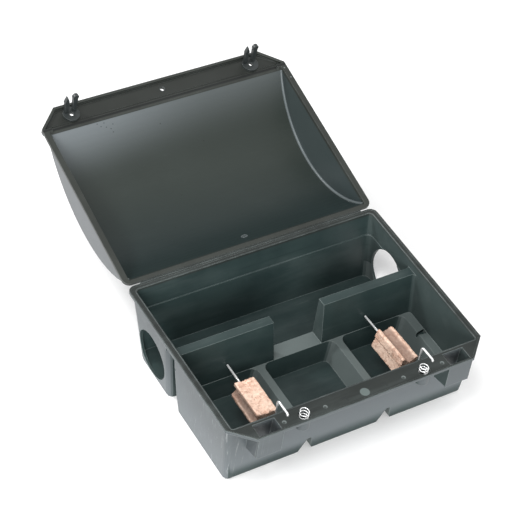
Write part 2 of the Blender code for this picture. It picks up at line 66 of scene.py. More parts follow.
def makeCamera(settings):
    right = Vector(settings["right"]).normalized()
    up = -Vector(settings["down"])
    up = (up - right * up.dot(right)).normalized()
    back = right.cross(up)
    data = bpy.data.cameras.new("viewCamera")
    data.lens = settings["lens"]
    data.sensor_width = 36.0
    data.clip_end = 20.0
    camera = bpy.data.objects.new("viewCamera", data)
    turn = Matrix((right, up, back)).transposed().to_4x4()
    camera.matrix_world = Matrix.Translation(settings["place"]) @ turn
    scene.collection.objects.link(camera)
    scene.camera = camera
    return camera


makeCamera(cameraSettings)
print("camera ready")


class Shade:
    # builds nodes in one material, and wraps their sockets for expressions
    def __init__(self, name):
        self.material = bpy.data.materials.new(name)
        self.material.use_nodes = True
        self.tree = self.material.node_tree
        self.surface = self.tree.nodes["Principled BSDF"]

    def node(self, kind, settings=None, inputs=None, output=0):
        made = self.tree.nodes.new(kind)
        for key, value in (settings or {}).items():
            if key == "stops":
                ramp = made.color_ramp
                while len(ramp.elements) < len(value):
                    ramp.elements.new(0.5)
                for element, (place, color) in zip(ramp.elements, value):
                    element.position = place
                    element.color = (*color, 1) if len(color) == 3 else color
            else:
                setattr(made, key, value)
        for key, value in (inputs or {}).items():
            self.feed(made.inputs[key], value)
        return Wire(self, made.outputs[output])

    def feed(self, socket, value):
        if isinstance(value, Wire):
            self.tree.links.new(value.socket, socket)
        elif hasattr(value, "__len__") and socket.type == "RGBA" and len(value) == 3:
            socket.default_value = (*value, 1)
        else:
            socket.default_value = value

    def set(self, **values):
        for key, value in values.items():
            self.feed(self.surface.inputs[key.replace("_", " ")], value)


class Wire:
    # a socket that can be added, multiplied and so on
    def __init__(self, shade, socket):
        self.shade = shade
        self.socket = socket

    def math(self, operation, *values, clamp=False):
        return self.shade.node(
            "ShaderNodeMath", {"operation": operation, "use_clamp": clamp}, dict(enumerate(values))
        )

    def __add__(self, other):
        return self.math("ADD", self, other)

    def __radd__(self, other):
        return self.math("ADD", other, self)

    def __sub__(self, other):
        return self.math("SUBTRACT", self, other)

    def __rsub__(self, other):
        return self.math("SUBTRACT", other, self)

    def __mul__(self, other):
        return self.math("MULTIPLY", self, other)

    def __rmul__(self, other):
        return self.math("MULTIPLY", other, self)

    def clamp(self):
        return self.math("ADD", self, 0.0, clamp=True)


def mixColor(shade, factor, first, second, blend="MIX"):
    made = shade.tree.nodes.new("ShaderNodeMix")
    made.data_type = "RGBA"
    made.blend_type = blend
    for place, value in ((0, factor), (6, first), (7, second)):
        shade.feed(made.inputs[place], value)
    return Wire(shade, made.outputs[2])


def ramp(shade, value, low, high):
    # 0 below low, 1 above high, smooth between
    return shade.node(
        "ShaderNodeMapRange", {"interpolation_type": "SMOOTHSTEP"},
        {"Value": value, "From Min": low, "From Max": high},
    )


def vectorMath(shade, operation, first, second, output=1):
    # output 1 is the number that a dot product or a distance gives, 0 the vector
    return shade.node("ShaderNodeVectorMath", {"operation": operation}, {0: first, 1: second}, output=output)


def spot(shade, place, centre, radius, soft=0.0004):
    # 1 inside a small ball round a point of the frame
    away = vectorMath(shade, "DISTANCE", place, centre)
    return 1 - ramp(shade, away, radius - soft, radius + soft)


def total(masks):
    result = masks[0]
    for mask in masks[1:]:
        result = result + mask
    return result.clamp()


def stretched(shade, place, scale, detail=4.0, rough=0.6):
    # noise with its own scale along each axis
    moved = shade.node("ShaderNodeMapping", {"vector_type": "POINT"}, {"Vector": place, "Scale": scale})
    return shade.node(
        "ShaderNodeTexNoise", {}, {"Vector": moved, "Scale": 1.0, "Detail": detail, "Roughness": rough}
    )


joints = {joint["name"]: joint for joint in frame["record"]["behaviour"]["joints"]}
hinge = Vector(joints["lid_hinge"]["pos_m"])
lidOpen = math.radians(166.5)
lidAlong = Vector((0, -math.cos(lidOpen), math.sin(lidOpen)))  # from the hinge to the free edge
lidDeep = Vector((0, math.sin(lidOpen), math.cos(lidOpen)))  # into the dome


def lidPoint(x, along, deep):
    # millimetres on the open lid to a point of the frame
    return hinge + Vector((x * mm, 0, 0)) + lidAlong * along * mm + lidDeep * deep * mm


def parts(shade, vector):
    split = shade.node("ShaderNodeSeparateXYZ", {}, {"Vector": vector}).socket.node
    return [Wire(shade, split.outputs[k]) for k in range(3)]


def band(shade, value, low, high, soft=0.0003):
    return ramp(shade, value, low - soft, low + soft) * (1 - ramp(shade, value, high - soft, high + soft))


def wallMasks(shade, sides, facing, halfWidth, frontLine, rearLine):
    # 1 on the walls that face away from the middle of the tray
    x, y = sides[:2]
    nx, ny = facing[:2]
    soft = 0.0006
    ends = ramp(shade, x.math("ABSOLUTE"), halfWidth, halfWidth + soft) * ramp(
        shade, (nx * x) * (1 / halfWidth), 0.3, 0.6)
    front = ramp(shade, frontLine - y, 0, soft) * ramp(shade, -1 * ny, 0.3, 0.6)
    rear = ramp(shade, y - rearLine, 0, soft) * ramp(shade, ny, 0.3, 0.6)
    return (ends + front + rear).clamp()


# where the tray's tones change, each from one place to the next in metres
trayZones = {
    "underRim": (0.0765, 0.0790), "walls": (0.1440, -0.0472, 0.1560), "outerFade": (0.0, 0.075),
    "plateAcross": (0.0985, 0.1232), "plateFoot": (0.0480, 0.0490), "plateFront": (-0.0668, -0.0662),
    "underLedge": (0.0212, 0.0222), "overLedge": (0.0222, 0.0232), "ledge": (0.0211, 0.0223),
    "ledgeAcross": (0.040, 0.044), "toLeft": (0.095, 0.150), "toFront": (-0.075, 0.045),
    "tunnelRear": (0.10, 0.14),
}


def trayTones(shade, values, place, ownNormal, cloudy, color):
    # painted shade makes the inside of the tray darker and greener, painted light makes the outside paler and
    # greyer, palest near the floor
    x, y, z = sides = parts(shade, place)
    nx, ny, nz = facing = parts(shade, ownNormal)
    fromMiddle = x.math("ABSOLUTE")
    zones = trayZones
    # painted shade: below the rim the inside is darker and greener
    innerTone = mixColor(shade, ramp(shade, cloudy, 0.3, 0.7), *values["inside"])
    color = mixColor(shade, 1 - ramp(shade, z, *zones["underRim"]), color, innerTone)

    behindPlate = band(shade, fromMiddle, *zones["plateAcross"])
    behindPlate = behindPlate * ramp(shade, z, *zones["plateFoot"]) * ramp(shade, y, *zones["plateFront"])
    outside = wallMasks(shade, sides, facing, *zones["walls"]) * (1 - behindPlate)
    # painted light: the outer walls paler and greyer, most near the floor
    outerTone = mixColor(shade, ramp(shade, z, *zones["outerFade"]), *values["outside"])
    color = mixColor(shade, outside, color, outerTone)

    # painted light on the inside faces that turn to the left, strong below the ledge and weak above it; the
    # level ledge tops are made paler as well
    leftward = ramp(shade, -1 * nx, 0.25, 0.8) * (1 - outside)
    lowSlope = leftward * (1 - ramp(shade, z, *zones["underLedge"]))
    color = mixColor(shade, 0.7 * lowSlope, color, values["paleTone"])
    highSlope = leftward * ramp(shade, z, *zones["overLedge"])
    color = mixColor(shade, 0.22 * highSlope, color, values["paleTone"])
    ledge = ramp(shade, nz, 0.9, 0.98) * band(shade, z, *zones["ledge"])
    ledge = ledge * (0.35 + 0.65 * ramp(shade, fromMiddle, *zones["ledgeAcross"]))
    color = mixColor(shade, 0.75 * ledge, color, values["paleTone"])

    # upright scratches on the outside of the front left corner
    corner = outside * ramp(shade, -1 * x, *zones["toLeft"]) * ramp(shade, -1 * y, *zones["toFront"])
    rubbed = stretched(shade, place, values["scratchScale"], 5.0, 0.7)
    color = mixColor(shade, 0.65 * (ramp(shade, rubbed, 0.58, 0.72) * corner), color, values["scratch"])

    # level dark streaks on the tunnel's rear wall
    streaks = stretched(shade, place, values["streakScale"], 5.0, 0.7)
    streaks = ramp(shade, streaks, 0.57, 0.68) * (1 - outside) * ramp(shade, y, *zones["tunnelRear"])
    return mixColor(shade, 0.4 * streaks, color, values["deep"])


# the same for the lid, measured from the hinge towards the free edge (reach) and into the dome (depth)
lidZones = {
    "endWall": 0.14, "outerDepth": (0.0040, 0.0046), "domeDepth": (0.0036, 0.0044),
    "domeReach": (0.2036, 0.2040), "lowToMiddle": (0.015, 0.150), "toLeft": (-0.120, 0.060),
    "sheenReach": (0.140, 0.214), "recessDepth": (0.0024, 0.0036), "recessReach": (0.2030, 0.2040),
    "seamReach": (0.2036, 0.2062), "seamDepth": (0.0062, 0.0068),
}


def lidTones(shade, values, place, ownNormal, color):
    # a pale band inside along the free edge as a painted reflection, brown to green below it, and paler
    # outside as painted light
    x = parts(shade, place)[0]
    nx = parts(shade, ownNormal)[0]
    zones = lidZones
    fromHinge = vectorMath(shade, "SUBTRACT", place, tuple(hinge), output=0)
    reach = vectorMath(shade, "DOT_PRODUCT", fromHinge, tuple(lidAlong))
    depth = vectorMath(shade, "DOT_PRODUCT", fromHinge, tuple(lidDeep))
    turned = vectorMath(shade, "DOT_PRODUCT", ownNormal, tuple(lidDeep))
    endWalls = ramp(shade, nx * x * (1 / zones["endWall"]), 0.3, 0.6)
    outside = endWalls * ramp(shade, depth, *zones["outerDepth"])
    outside = (outside + ramp(shade, turned, 0.2, 0.4)).clamp()

    inner = (1 - outside) * ramp(shade, depth, *zones["domeDepth"])
    inner = inner * (1 - ramp(shade, reach, *zones["domeReach"]))
    upward = ramp(shade, reach + 0.12 * x, *zones["lowToMiddle"])
    color = mixColor(shade, inner, color, mixColor(shade, upward, values["low"], values["middle"]))

    # painted reflection: a pale band inside the dome near the free edge, brighter to the left
    toLeft = 0.55 + 0.45 * (1 - ramp(shade, x, *zones["toLeft"]))
    fade = ramp(shade, reach - 0.06 * x, *zones["sheenReach"])
    rightWall = ramp(shade, -1 * nx, 0.5, 0.8) * (1 - outside)
    color = mixColor(shade, inner * (fade * fade) * toLeft * (1 - rightWall), color, values["sheen"])
    # painted light on the inside of the right end wall, which faces the light
    color = mixColor(shade, 0.75 * inner * rightWall, color, values["endWall"])
    # painted light: the lid's outer faces paler than its inside
    color = mixColor(shade, outside, color, values["outerTone"])

    # painted shade in the flange's recess near the free edge
    recess = band(shade, depth, *zones["recessDepth"]) * ramp(shade, reach, *zones["recessReach"])
    color = mixColor(shade, 0.7 * recess * (1 - outside), color, values["deep"])
    seam = band(shade, reach, *zones["seamReach"]) * (1 - outside)
    seam = seam * (1 - ramp(shade, depth, *zones["seamDepth"]))
    return mixColor(shade, 0.8 * seam, color, values["seam"])


def plasticMaterial(name, values):
    shade = Shade(name)
    place = shade.node("ShaderNodeTexCoord", output=3)
    trueNormal = shade.node("ShaderNodeNewGeometry", output=1)
    ownNormal = shade.node("ShaderNodeTexCoord", output=1)  # turns with the piece
    cloudy = stretched(shade, place, (16, 16, 16), 5.0)
    flow = stretched(shade, place, values["flowScale"], 4.0, 0.6)
    scuff = stretched(shade, place, values["scuffScale"], 6.0, 0.7)
    grain = stretched(shade, place, (1500, 1500, 1500), 2.0)
    bevel = shade.node("ShaderNodeBevel", {"samples": 8}, {"Radius": values["edgeRadius"]})
    along = vectorMath(shade, "DOT_PRODUCT", bevel, trueNormal)
    # lighter edges: wear together with a painted highlight along every edge
    edge = ramp(shade, 1 - along, 0.015, 0.2)
    wornAndLitEdge = edge * ramp(shade, cloudy, 0.25, 0.6)
    color = mixColor(shade, ramp(shade, cloudy, 0.3, 0.7), values["dark"], values["light"])
    if "inside" in values:
        color = trayTones(shade, values, place, ownNormal, cloudy, color)
    if "sheen" in values:
        color = lidTones(shade, values, place, ownNormal, color)
    height = 0.25 * grain
    color = mixColor(shade, values["flowGain"] * ramp(shade, flow, 0.45, 0.72), color, values["paleTone"])
    marks = ramp(shade, scuff, 0.62, 0.74)
    color = mixColor(shade, values["scuffs"] * marks, color, values["paleTone"])
    height = height - 0.12 * marks
    for group in values.get("spots", ()):
        mask = total([spot(shade, place, tuple(centre), group["radius"]) for centre in group["at"]])
        color = mixColor(shade, group["strength"] * mask, color, group["color"])
        height = height + group["rise"] * mask
    color = mixColor(shade, values["edgeGain"] * wornAndLitEdge, color, values["edgeColor"])
    bump = shade.node("ShaderNodeBump", {}, {
        "Height": height, "Distance": 0.0004, "Strength": values["grain"], "Normal": bevel})
    shade.set(
        Base_Color=color,
        Roughness=values["roughness"] + 0.14 * (cloudy - 0.5) + 0.1 * marks,
        Normal=bump,
        Specular_IOR_Level=values["gloss"],
    )
    return shade.material


trayLow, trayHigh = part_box("base_tray")
rimTop = trayHigh.z
flangeFront = trayLow.y
flangeMiddle = flangeFront + 8.5 * mm
lockPlateFront = -67.2 * mm
dimplesAt = [x * mm for x in (-92.4, -45.8, 45.8, 92.4)]
angleMarksAt = [x * mm for x in (-22.9, 22.9)]

trayLook = {
    "dark": (0.0145, 0.018, 0.0168), "light": (0.022, 0.0265, 0.0248), "paleTone": (0.13, 0.155, 0.152),
    "inside": ((0.017, 0.030, 0.030), (0.026, 0.043, 0.042)), "deep": (0.010, 0.017, 0.017),
    "outside": ((0.115, 0.131, 0.140), (0.066, 0.077, 0.082)), "scratch": (0.36, 0.38, 0.385),
    "scratchScale": (420, 420, 22), "streakScale": (7, 30, 330), "roughness": 0.42, "gloss": 0.32,
    "edgeRadius": 0.0009, "edgeGain": 0.8, "edgeColor": (0.24, 0.28, 0.275), "scuffs": 0.2, "grain": 0.35,
    "flowGain": 0.12, "flowScale": (9, 60, 45), "scuffScale": (14, 160, 420),
    "spots": (
        # a paler raised ring round each dimple, and in it painted shade set off towards the front left, the
        # side the light comes from
        {"at": [(x, flangeMiddle, rimTop) for x in dimplesAt],
         "radius": 0.0022, "strength": 0.6, "color": (0.20, 0.23, 0.225), "rise": 0.9},
        {"at": [(x - 0.5 * mm, flangeMiddle - 0.6 * mm, rimTop) for x in dimplesAt],
         "radius": 0.0015, "strength": 0.8, "color": (0.020, 0.026, 0.025), "rise": -1.8},
        {"at": [(0, flangeMiddle, rimTop)], "radius": 0.0050, "strength": 0.8,
         "color": (0.12, 0.15, 0.145), "rise": 0.8},
        {"at": [(x + dx * mm, flangeMiddle + dy * mm, rimTop) for x in angleMarksAt
                for dx, dy in ((-2, 2), (0, 2), (2, 2), (2, 0), (2, -2))],
         "radius": 0.0011, "strength": 0.65, "color": (0.016, 0.020, 0.020), "rise": -0.8},
        {"at": [(x * mm, lockPlateFront, z * mm) for x, z in ((-111, 63), (107, 67), (108, 60))],
         "radius": 0.0013, "strength": 0.85, "color": (0.03, 0.035, 0.035), "rise": -0.8},
    ),
}
domeSpan = {"middle": 104.5, "half": 99, "depth": 50}  # millimetres from the hinge, and into the dome
domeRadius = (domeSpan["half"] ** 2 + domeSpan["depth"] ** 2) / (2 * domeSpan["depth"])


def vaultDepth(along):
    # the depth of the dome's inner face at a distance from the hinge
    sideways = along - domeSpan["middle"]
    return domeSpan["depth"] - domeRadius + math.sqrt(max(domeRadius ** 2 - sideways ** 2, 0))


speckPlaces = [lidPoint(x, u, vaultDepth(u)) for x, u in (
    (-88, 199), (-84, 196.5), (-80, 198.5), (-78, 195), (-73, 193), (-70, 196), (-71, 190), (-15, 186),
    (30, 160), (-20, 110), (-47, 72), (60, 90), (92, 60))]
lidLook = {
    "dark": (0.023, 0.026, 0.023), "light": (0.032, 0.036, 0.032), "paleTone": (0.09, 0.105, 0.103),
    "low": (0.011, 0.020, 0.020), "middle": (0.024, 0.031, 0.027), "sheen": (0.160, 0.180, 0.190),
    "deep": (0.014, 0.016, 0.014), "seam": (0.005, 0.006, 0.006), "endWall": (0.042, 0.056, 0.058),
    "outerTone": (0.080, 0.089, 0.096), "roughness": 0.38, "gloss": 0.36,
    "edgeRadius": 0.0009, "edgeGain": 0.55, "edgeColor": (0.13, 0.15, 0.145), "scuffs": 0.06, "grain": 0.22,
    "flowGain": 0.05, "flowScale": (7, 12, 12), "scuffScale": (30, 160, 160),
    "spots": (
        {"at": speckPlaces, "radius": 0.0006, "strength": 0.8,
         "color": (0.012, 0.014, 0.014), "rise": -0.8},
        {"at": [lidPoint(80, 9, 0.3)], "radius": 0.0010, "strength": 0.9,
         "color": (0.5, 0.52, 0.5), "rise": 1.0},
        {"at": [lidPoint(146, 200, 0.2), lidPoint(147, 186, 0.2)], "radius": 0.0009, "strength": 0.8,
         "color": (0.16, 0.18, 0.18), "rise": 1.0},
    ),
}
latchLook = {
    "dark": (0.020, 0.024, 0.024), "light": (0.035, 0.041, 0.042), "paleTone": (0.09, 0.10, 0.10),
    "roughness": 0.34, "gloss": 0.45, "edgeRadius": 0.0006, "edgeGain": 0.6,
    "edgeColor": (0.16, 0.18, 0.18), "scuffs": 0.2, "grain": 0.2,
    "flowGain": 0.1, "flowScale": (40, 40, 40), "scuffScale": (200, 200, 200),
}
trayPlastic = plasticMaterial("trayPlastic", trayLook)
lidPlastic = plasticMaterial("lidPlastic", lidLook)
latchPlastic = plasticMaterial("latchPlastic", latchLook)
# a paler plastic for the gate ring, and for the dome's fillets, where the paleness is a painted highlight on
# the edge
paleRingAndEdgeHighlight = plasticMaterial("paleRingAndEdgeHighlight", dict(
    latchLook, dark=(0.085, 0.100, 0.104), light=(0.115, 0.135, 0.140), paleTone=(0.16, 0.18, 0.18)))

for name, node in frame["nodes"].items():
    finish = latchPlastic if name.startswith("latch") else lidPlastic if name == "lid" else trayPlastic
    node.data.materials.clear()
    node.data.materials.append(finish)
print("plastics ready")


def pieceFrom(work, name, finish, body, smooth=30):
    data = bpy.data.meshes.new(name)
    bmesh.ops.recalc_face_normals(work, faces=work.faces)
    work.to_mesh(data)
    work.free()
    data.shade_smooth()
    data.set_sharp_from_angle(angle=math.radians(smooth))
    data.materials.append(finish)
    piece = bpy.data.objects.new(name, data)
    scene.collection.objects.link(piece)
    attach(piece, body)
    return piece


def roundedLoop(x0, x1, y0, y1, front, rear, steps=6):
    points = []
    for cx, cy, radius, start in (
        (x1 - front, y0 + front, front, -90), (x1 - rear, y1 - rear, rear, 0),
        (x0 + rear, y1 - rear, rear, 90), (x0 + front, y0 + front, front, 180),
    ):
        for count in range(steps + 1):
            angle = math.radians(start + 90 * count / steps)
            points.append(Vector((cx + radius * math.cos(angle), cy + radius * math.sin(angle))))
    return points


def offsetLoop(points, amount):
    # moves a closed loop sideways, outwards for a positive amount
    moved = []
    for before, here, after in zip(points[-1:] + points[:-1], points, points[1:] + points[:1]):
        one = (here - before).normalized()
        two = (after - here).normalized()
        first, second = Vector((one.y, -one.x)), Vector((two.y, -two.x))
        away = (first + second) / max((first + second).length, 1e-6)
        moved.append(here + away * amount / max(away.dot(first), 0.4))
    return moved


def ridge(work, loop, width, low, high, turn=None):
    # a rounded bead of the given width that follows a loop
    profile = [(-0.5, 0), (-0.46, 0.55), (-0.26, 1), (0.26, 1), (0.46, 0.55), (0.5, 0)]
    rows = []
    for across, rise in profile:
        row = offsetLoop(loop, across * width)
        points = [Vector((p.x, p.y, low + (high - low) * rise)) for p in row]
        rows.append([work.verts.new(turn(p) if turn else p) for p in points])
    for one, two in zip(rows, rows[1:] + rows[:1]):
        for here in range(len(one)):
            after = (here + 1) % len(one)
            work.faces.new((one[here], one[after], two[after], two[here]))


rimShape = {
    "outerInset": 1.5, "outerWidth": 1.7, "innerOutset": 0.75, "innerWidth": 1.0, "rise": 0.2, "sunk": 0.2,
    "chamferAlong": 23.5, "chamferDeep": 22.8, "frontRadius": 1, "rearRadius": 8,
    "openingHalf": 143.1, "openingFront": -47.3, "openingRear": 154.6,
    "openingFrontRadius": 2.5, "openingRearRadius": 4.5,
}


def trayRim(values):
    size = {key: value * mm for key, value in values.items()}
    half, front, rear = trayHigh.x, trayLow.y, trayHigh.y
    chamferX, chamferY = half - size["chamferAlong"], front + size["chamferDeep"]
    corners = roundedLoop(-half, half, front, rear, size["frontRadius"], size["rearRadius"])
    edge = [Vector((-chamferX, front)), Vector((chamferX, front)), Vector((half, chamferY))]
    edge += corners[7:21] + [Vector((-half, chamferY))]  # 7 points for each of the two rear corners
    opening = roundedLoop(-size["openingHalf"], size["openingHalf"], size["openingFront"],
                          size["openingRear"], size["openingFrontRadius"], size["openingRearRadius"])
    low, high = rimTop - size["sunk"], rimTop + size["rise"]
    work = bmesh.new()
    ridge(work, offsetLoop(edge, -size["outerInset"]), size["outerWidth"], low, high)
    ridge(work, offsetLoop(opening, size["innerOutset"]), size["innerWidth"], low, high)
    return pieceFrom(work, "trayRimBeads", trayPlastic, "base")


trayRim(rimShape)
print("rim beads ready")


lidDetail = {
    "beadFront": 225.8, "beadRear": 209.2, "beadFrontHalf": 123, "beadRearHalf": 144.5,
    "beadWidth": 1.0, "beadRise": 0.55, "beadSunk": 0.2, "recessDeep": 3.25,
    "gate": (6, 23, 3.1, 0.65), "hole": (0, 218, 3.0, 0.6),  # across, from the hinge, radius, thickness
    "fillet": 1.7, "filletFrom": 8.5, "filletTo": 200.5, "filletSteps": 60, "endWall": 142.9, "draft": 0.08,
}


def onLid(point):
    return lidPoint(point.x / mm, -point.y / mm, point.z / mm)


def ring(work, centre, axis, radius, thickness, around=40, across=10):
    side = axis.orthogonal().normalized()
    other = axis.cross(side)
    rows = []
    for k in range(around):
        angle = 2 * math.pi * k / around
        out = side * math.cos(angle) + other * math.sin(angle)
        row = []
        for m in range(across):
            turn = 2 * math.pi * m / across
            point = out * (radius + thickness * math.cos(turn)) + axis * thickness * math.sin(turn)
            row.append(work.verts.new(centre + point * mm))
        rows.append(row)
    for one, two in zip(rows, rows[1:] + rows[:1]):
        for k in range(across):
            work.faces.new((one[k], one[(k + 1) % across], two[(k + 1) % across], two[k]))


def lidDetails(values):
    front, rear = -values["beadFront"], -values["beadRear"]
    frontHalf, rearHalf = values["beadFrontHalf"], values["beadRearHalf"]
    loop = [Vector((x * mm, y * mm)) for x, y in (
        (-frontHalf, front), (frontHalf, front), (rearHalf, rear), (-rearHalf, rear))]
    work = bmesh.new()
    foot, top = values["recessDeep"] + values["beadSunk"], values["recessDeep"] - values["beadRise"]
    ridge(work, loop, values["beadWidth"] * mm, foot * mm, top * mm, onLid)
    pieceFrom(work, "lidFlangeBead", lidPlastic, "lid")
    work = bmesh.new()
    x, u, radius, thickness = values["gate"]
    middle = lidPoint(x, domeSpan["middle"], domeSpan["depth"] - domeRadius)
    inward = (middle - lidPoint(x, u, vaultDepth(u))).normalized()
    ring(work, lidPoint(x, u, vaultDepth(u)), inward, radius, thickness)
    pieceFrom(work, "gateRing", paleRingAndEdgeHighlight, "lid", 60)
    work = bmesh.new()
    x, u, radius, thickness = values["hole"]
    ring(work, lidPoint(x, u, values["recessDeep"]), lidDeep, radius, thickness)
    pieceFrom(work, "lidHoleRing", latchPlastic, "lid", 60)
    # pale tubes along the joins of the dome and the end walls, a painted highlight on those edges
    for side, label in ((-1, "Left"), (1, "Right")):
        work = bmesh.new()
        path = []
        for step in range(values["filletSteps"] + 1):
            share = step / values["filletSteps"]
            u = values["filletFrom"] + (values["filletTo"] - values["filletFrom"]) * share
            depth = vaultDepth(u)
            path.append(lidPoint(side * (values["endWall"] - values["draft"] * depth), u, depth - 0.5))
        tube(work, path, values["fillet"] * mm, 10)
        pieceFrom(work, "domeFillet" + label, paleRingAndEdgeHighlight, "lid", 60)


legShape = {"length": 23.5, "lean": 7, "halfSpan": 4.6, "half": 2.1, "bevel": 0.45, "x": 110.8, "u": 221.5}


def legOutline(kind, length):
    if kind == "spike":
        return [(-2.5, 0.0), (2.3, 0.0), (2.2, 15), (1.5, 18), (-0.6, length), (-2.7, 17.4), (-3.6, 15.6),
                (-3.4, 14.4), (-2.3, 13.4)]
    centre, head, neck = length - 3.6, 3.6, 2.2
    start = math.degrees(math.asin(neck / head)) - 90
    rim = [math.radians(start + (360 - 2 * (start + 90)) * k / 18) for k in range(19)]
    return [(-2.5, 0.0), (2.5, 0.0)] + [(head * math.cos(a), centre + head * math.sin(a)) for a in rim]


def makeLeg(kind, name, values):
    side = -1 if name == "left" else 1
    offset = values["halfSpan"] * (-1 if kind == "spike" else 1)
    root = lidPoint(side * values["x"] + offset, values["u"], 0.25)
    lean = math.radians(90 - values["lean"])
    outward = lidAlong * math.cos(lean) - lidDeep * math.sin(lean)
    thick = lidAlong * math.sin(lean) + lidDeep * math.cos(lean)
    work = bmesh.new()
    levels = []
    for level in (-values["half"], values["half"]):
        levels.append([
            work.verts.new(root + Vector((px * mm, 0, 0)) + outward * py * mm + thick * level * mm)
            for px, py in legOutline(kind, values["length"])
        ])
    size = len(levels[0])
    rims = [work.faces.new(levels[0][::-1]), work.faces.new(levels[1])]
    for k in range(size):
        after = (k + 1) % size
        work.faces.new((levels[0][k], levels[0][after], levels[1][after], levels[1][k]))
    edges = {edge for face in rims for edge in face.edges}
    bmesh.ops.bevel(work, geom=list(edges), offset=values["bevel"] * mm, segments=2, affect="EDGES",
                    clamp_overlap=True)
    piece = pieceFrom(work, "snapLeg" + kind.title() + name.title(), latchPlastic,
                      f"latch_{kind}_{name}_body", 35)
    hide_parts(f"latch_{kind}_{name}")


def tube(work, points, radius, sides=14):
    # a round wire through the points, with rounded ends
    rings = []
    side = None
    count = len(points)
    for index, here in enumerate(points):
        ahead = (points[min(index + 1, count - 1)] - points[max(index - 1, 0)]).normalized()
        if side is None:
            side = ahead.orthogonal().normalized()
        side = (side - ahead * side.dot(ahead)).normalized()
        up = ahead.cross(side)
        rings.append([
            work.verts.new(here + (side * math.cos(t) + up * math.sin(t)) * radius)
            for t in [2 * math.pi * k / sides for k in range(sides)]
        ])
    for one, two in zip(rings, rings[1:]):
        for k in range(sides):
            work.faces.new((one[k], one[(k + 1) % sides], two[(k + 1) % sides], two[k]))
    work.faces.new(rings[0][::-1])
    work.faces.new(rings[-1])


def steelMaterial():
    shade = Shade("brightWire")
    place = shade.node("ShaderNodeTexCoord", output=3)
    drawn = stretched(shade, place, (900, 900, 900), 3.0)
    cloudy = stretched(shade, place, (120, 120, 120), 3.0)
    shade.set(
        Base_Color=mixColor(shade, ramp(shade, cloudy, 0.35, 0.65), (0.80, 0.81, 0.82), (0.98, 0.98, 0.97)),
        Metallic=0.55,
        Roughness=0.16 + 0.16 * ramp(shade, drawn, 0.3, 0.7),
        Normal=shade.node("ShaderNodeBump", {}, {"Height": drawn, "Distance": 0.0001, "Strength": 0.25}),
    )
    return shade.material


steel = steelMaterial()
springShape = {"x": 70, "radius": 4.55, "wire": 0.5, "pitch": 4.2, "bottom": 66.9, "stepsPerTurn": 30,
               "firstAngle": 0.9, "squashed": 0.64}


def makeSpring(side, name, values):
    middle = Vector((side * values["x"] * mm, flangeMiddle, 0))
    low = values["bottom"] * mm
    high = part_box(name)[1].z - values["wire"] * mm
    turns = (high - low) / (values["pitch"] * mm)
    count = int(turns * values["stepsPerTurn"])
    points = []
    for step in range(count + 1):
        share = step / count
        angle = 2 * math.pi * turns * share + values["firstAngle"] * side
        height = low + (high - low) * share
        points.append(middle + Vector((
            values["radius"] * mm * math.cos(angle), values["radius"] * mm * math.sin(angle), height)))
    work = bmesh.new()
    tube(work, points, values["wire"] * mm, 10)
    piece = pieceFrom(work, "coil" + name.split("_")[2].title(), steel, "base", 60)
    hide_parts(name)
    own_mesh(piece)
    return piece


def bentPath(corners, bends, steps=9):
    points = [Vector(corners[0])]
    for before, corner, after, bend in zip(corners, corners[1:], corners[2:], bends):
        here = Vector(corner)
        back = (Vector(before) - here).normalized()
        ahead = (Vector(after) - here).normalized()
        centre = here + (back + ahead) * bend
        start, end = here + back * bend - centre, here + ahead * bend - centre
        for count in range(steps + 1):
            angle = math.pi / 2 * count / steps
            points.append(centre + start * math.cos(angle) + end * math.sin(angle))
    return points + [Vector(corners[-1])]


rodShape = {"radius": 1.2, "hookX": 85, "hookY": -54.2, "legY": -35.5, "tipY": 57.4, "height": 38,
            "over": 81.5, "low": 72, "yaw": {"left": 0.0, "right": 1.7}}


def holderMatrix(name, values):
    side = -1 if name == "left" else 1
    place = Matrix.Translation((side * values["hookX"] * mm, values["hookY"] * mm, 0))
    return place @ Matrix.Rotation(math.radians(values["yaw"][name]), 4, "Z")


def makeRod(name, values):
    hook = values["hookY"]
    corners = [Vector((0, y * mm - hook * mm, z * mm)) for y, z in (
        (values["tipY"], values["height"]), (values["legY"], values["height"]),
        (values["legY"], values["over"]), (hook, values["over"]), (hook, values["low"]))]
    turn = holderMatrix(name, values)
    path = [turn @ p for p in bentPath(corners, (4 * mm, 3 * mm, 2 * mm))]
    work = bmesh.new()
    tube(work, path, values["radius"] * mm, 16)
    piece = pieceFrom(work, "baitWire" + name.title(), steel, "rod_" + name, 60)
    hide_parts("bait_rod_" + name)
    return piece


lidDetails(lidDetail)
for name in ("left", "right"):
    for kind in ("spike", "bulb"):
        makeLeg(kind, name, legShape)
    makeSpring(-1 if name == "left" else 1, "lid_spring_" + name, springShape)
    makeRod(name, rodShape)
print("wire ready")


